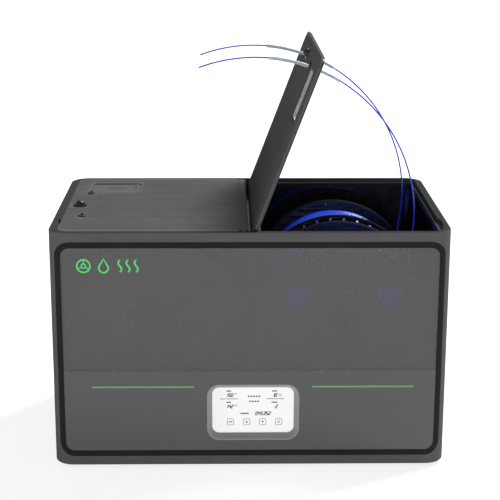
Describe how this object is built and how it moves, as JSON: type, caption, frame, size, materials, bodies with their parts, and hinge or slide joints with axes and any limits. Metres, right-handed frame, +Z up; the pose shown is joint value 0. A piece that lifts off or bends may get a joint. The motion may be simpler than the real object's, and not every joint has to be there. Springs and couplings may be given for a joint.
{
  "type": "filament dryer box",
  "caption": "Box that dries and feeds printer filament: hinged lids over spool bays with rollers, fans and heaters, a smoked front window and a tilted screen.",
  "frame": {"origin": "middle of the footprint, on the surface that the feet stand on", "axes": "+X to the right seen from the front, +Y to the back, +Z up"},
  "size_m": [0.446, 0.283, 0.4687],
  "materials": {
    "case_grey": "fine matte, dark grey",
    "band_black": "satin",
    "smoked_pane": "smoked, see-through",
    "bezel_grey": "satin",
    "screen_white": "lit white screen under a clear cover",
    "module_metal": "plain",
    "board_green": "solder resist",
    "steel": "zinc plated",
    "liner_black": "gloss black",
    "lid_grey": "fine matte with ridges",
    "lid_inner_grey": "satin",
    "seal_rubber": "soft rubber",
    "knob_black": "satin black",
    "tube_white": "milky see-through tube",
    "base_black": "fine texture",
    "heater_metal": "bare fins",
    "sensor_white": "matte",
    "filament_blue": "glossy wound filament",
    "filament_dark": "glossy wound filament",
    "spool_black": "satin black",
    "roller_grey": "smooth"
  },
  "bodies": {
    "casing": {"outer_shell": "case_grey", "window_band": "band_black", "front_window": "smoked_pane", "display_bezel": "bezel_grey", "display_glass": "screen_white", "display_panel": "module_metal", "control_board": "board_green", "board_screws": "steel", "left_bay_liner": "liner_black", "right_bay_liner": "liner_black", "left_bay_seal": "seal_rubber", "right_bay_seal": "seal_rubber", "hinge_spine": "liner_black", "hinge_pins": "steel", "floor_grilles": "liner_black", "humidity_sensors": "sensor_white", "roller_cradles": "liner_black", "base_cover": "base_black", "base_screws": "steel", "rubber_feet": "seal_rubber", "fan_frames": "base_black", "heater_blocks": "heater_metal", "power_inlet": "knob_black", "power_board": "board_green", "front_strand": "filament_blue", "back_strand": "filament_blue"},
    "left_lid": {"left_lid_cover": "lid_grey", "left_lid_plate": "lid_inner_grey"},
    "right_lid": {"right_lid_cover": "lid_grey", "right_lid_plate": "lid_inner_grey", "tube_grommets": "seal_rubber", "guide_tubes": "tube_white"},
    "left_vent": {"left_vent_knob": "knob_black"},
    "right_vent": {"right_vent_knob": "knob_black"},
    "back_plug": {"left_back_plug": "seal_rubber"},
    "front_plug": {"left_front_plug": "seal_rubber"},
    "left_fan": {"left_fan_rotor": "base_black"},
    "right_fan": {"right_fan_rotor": "base_black"},
    "rocker": {"power_rocker": "knob_black"},
    "left_front_spool": {"left_front_spool_front_half": "spool_black", "left_front_spool_back_half": "spool_black", "left_front_winding": "filament_dark"},
    "left_front_inner_roller": {"left_front_inner_roller": "roller_grey"},
    "left_front_outer_roller": {"left_front_outer_roller": "roller_grey"},
    "left_back_spool": {"left_back_spool_front_half": "spool_black", "left_back_spool_back_half": "spool_black", "left_back_winding": "filament_dark"},
    "left_back_inner_roller": {"left_back_inner_roller": "roller_grey"},
    "left_back_outer_roller": {"left_back_outer_roller": "roller_grey"},
    "right_front_spool": {"right_front_spool_front_half": "spool_black", "right_front_spool_back_half": "spool_black", "right_front_winding": "filament_blue"},
    "right_front_inner_roller": {"right_front_inner_roller": "roller_grey"},
    "right_front_outer_roller": {"right_front_outer_roller": "roller_grey"},
    "right_back_spool": {"right_back_spool_front_half": "spool_black", "right_back_spool_back_half": "spool_black", "right_back_winding": "filament_blue"},
    "right_back_inner_roller": {"right_back_inner_roller": "roller_grey"},
    "right_back_outer_roller": {"right_back_outer_roller": "roller_grey"}
  },
  "joints": [
    {"name": "left_lid_hinge", "type": "hinge", "parent": "casing", "child": "left_lid", "pos_m": [-0.007, 0, 0.2744], "axis": [0, 1, 0], "range_deg": [0, 69.3]},
    {"name": "right_lid_hinge", "type": "hinge", "parent": "casing", "child": "right_lid", "pos_m": [0.007, 0, 0.2744], "axis": [0, -1, 0], "range_deg": [-69.3, 0]},
    {"name": "left_vent_turn", "type": "hinge", "parent": "left_lid", "child": "left_vent", "pos_m": [-0.1985, -0.014, 0.279], "axis": [0, 0, 1], "range_deg": [0, 90]},
    {"name": "right_vent_turn", "type": "hinge", "parent": "right_lid", "child": "right_vent", "pos_m": [0.07039, 0.014, 0.45516], "axis": [-0.9354, 0, 0.3535], "range_deg": [0, 90]},
    {"name": "back_plug_pull", "type": "slide", "parent": "left_lid", "child": "back_plug", "axis": [0, 0, 1], "range_m": [0, 0.009]},
    {"name": "front_plug_pull", "type": "slide", "parent": "left_lid", "child": "front_plug", "axis": [0, 0, 1], "range_m": [0, 0.009]},
    {"name": "left_front_spool_spin", "type": "hinge", "parent": "casing", "child": "left_front_spool", "pos_m": [-0.1075, -0.054, 0.16], "axis": [0, 1, 0], "continuous": true},
    {"name": "left_front_inner_roller_spin", "type": "hinge", "parent": "casing", "child": "left_front_inner_roller", "pos_m": [-0.04423, -0.054, 0.06965], "axis": [0, 1, 0], "continuous": true},
    {"name": "left_front_outer_roller_spin", "type": "hinge", "parent": "casing", "child": "left_front_outer_roller", "pos_m": [-0.17077, -0.054, 0.06965], "axis": [0, 1, 0], "continuous": true},
    {"name": "left_back_spool_spin", "type": "hinge", "parent": "casing", "child": "left_back_spool", "pos_m": [-0.1075, 0.058, 0.16], "axis": [0, 1, 0], "continuous": true},
    {"name": "left_back_inner_roller_spin", "type": "hinge", "parent": "casing", "child": "left_back_inner_roller", "pos_m": [-0.04423, 0.058, 0.06965], "axis": [0, 1, 0], "continuous": true},
    {"name": "left_back_outer_roller_spin", "type": "hinge", "parent": "casing", "child": "left_back_outer_roller", "pos_m": [-0.17077, 0.058, 0.06965], "axis": [0, 1, 0], "continuous": true},
    {"name": "right_front_spool_spin", "type": "hinge", "parent": "casing", "child": "right_front_spool", "pos_m": [0.1075, -0.054, 0.16], "axis": [0, 1, 0], "continuous": true},
    {"name": "right_front_inner_roller_spin", "type": "hinge", "parent": "casing", "child": "right_front_inner_roller", "pos_m": [0.04423, -0.054, 0.06965], "axis": [0, 1, 0], "continuous": true},
    {"name": "right_front_outer_roller_spin", "type": "hinge", "parent": "casing", "child": "right_front_outer_roller", "pos_m": [0.17077, -0.054, 0.06965], "axis": [0, 1, 0], "continuous": true},
    {"name": "right_back_spool_spin", "type": "hinge", "parent": "casing", "child": "right_back_spool", "pos_m": [0.1075, 0.058, 0.16], "axis": [0, 1, 0], "continuous": true},
    {"name": "right_back_inner_roller_spin", "type": "hinge", "parent": "casing", "child": "right_back_inner_roller", "pos_m": [0.04423, 0.058, 0.06965], "axis": [0, 1, 0], "continuous": true},
    {"name": "right_back_outer_roller_spin", "type": "hinge", "parent": "casing", "child": "right_back_outer_roller", "pos_m": [0.17077, 0.058, 0.06965], "axis": [0, 1, 0], "continuous": true},
    {"name": "left_fan_spin", "type": "hinge", "parent": "casing", "child": "left_fan", "pos_m": [-0.1075, 0, 0.025], "axis": [0, 0, 1], "continuous": true},
    {"name": "right_fan_spin", "type": "hinge", "parent": "casing", "child": "right_fan", "pos_m": [0.1075, 0, 0.025], "axis": [0, 0, 1], "continuous": true},
    {"name": "power_rocker_tilt", "type": "hinge", "parent": "casing", "child": "rocker", "pos_m": [0.164, 0.1325, 0.031], "axis": [1, 0, 0], "range_deg": [0, 12]}
  ],
  "couplings": [
    {"joint": "left_front_inner_roller_spin", "follows": "left_front_spool_spin", "ratio": -10},
    {"joint": "left_front_outer_roller_spin", "follows": "left_front_spool_spin", "ratio": -10},
    {"joint": "left_back_inner_roller_spin", "follows": "left_back_spool_spin", "ratio": -10},
    {"joint": "left_back_outer_roller_spin", "follows": "left_back_spool_spin", "ratio": -10},
    {"joint": "right_front_inner_roller_spin", "follows": "right_front_spool_spin", "ratio": -10},
    {"joint": "right_front_outer_roller_spin", "follows": "right_front_spool_spin", "ratio": -10},
    {"joint": "right_back_inner_roller_spin", "follows": "right_back_spool_spin", "ratio": -10},
    {"joint": "right_back_outer_roller_spin", "follows": "right_back_spool_spin", "ratio": -10}
  ]
}
